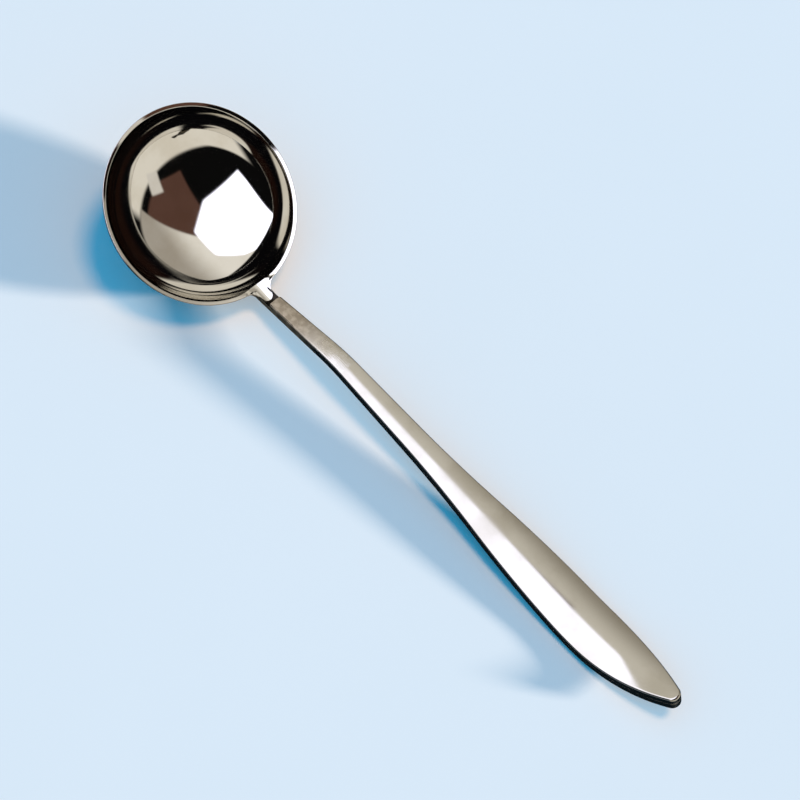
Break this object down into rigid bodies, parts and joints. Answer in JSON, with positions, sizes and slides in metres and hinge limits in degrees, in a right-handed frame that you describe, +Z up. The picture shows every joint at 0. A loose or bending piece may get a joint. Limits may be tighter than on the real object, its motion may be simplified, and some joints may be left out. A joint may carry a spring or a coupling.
{
  "type": "soup ladle",
  "caption": "Polished steel soup ladle: a deep round bowl with a small beak, a solid neck and a hollow handle that widens and turns up at its end.",
  "frame": {"origin": "on the table, midway along the ladle, where it lies at rest on its bowl and on the belly of its handle", "axes": "+X along the handle from the bowl to the tip, +Z up from the table, +Y across the handle"},
  "size_m": [0.2993, 0.08, 0.0446],
  "materials": {
    "bowl_steel": "polished",
    "handle_steel": "polished",
    "neck_steel": "satin",
    "weld_steel": "satin"
  },
  "bodies": {
    "root": {"bowl": "bowl_steel", "neck_shank": "neck_steel", "bowl_weld": "weld_steel", "mouth_weld": "weld_steel", "handle_upper_shell": "handle_steel", "handle_lower_shell": "handle_steel", "seam_weld": "weld_steel"}
  },
  "joints": []
}
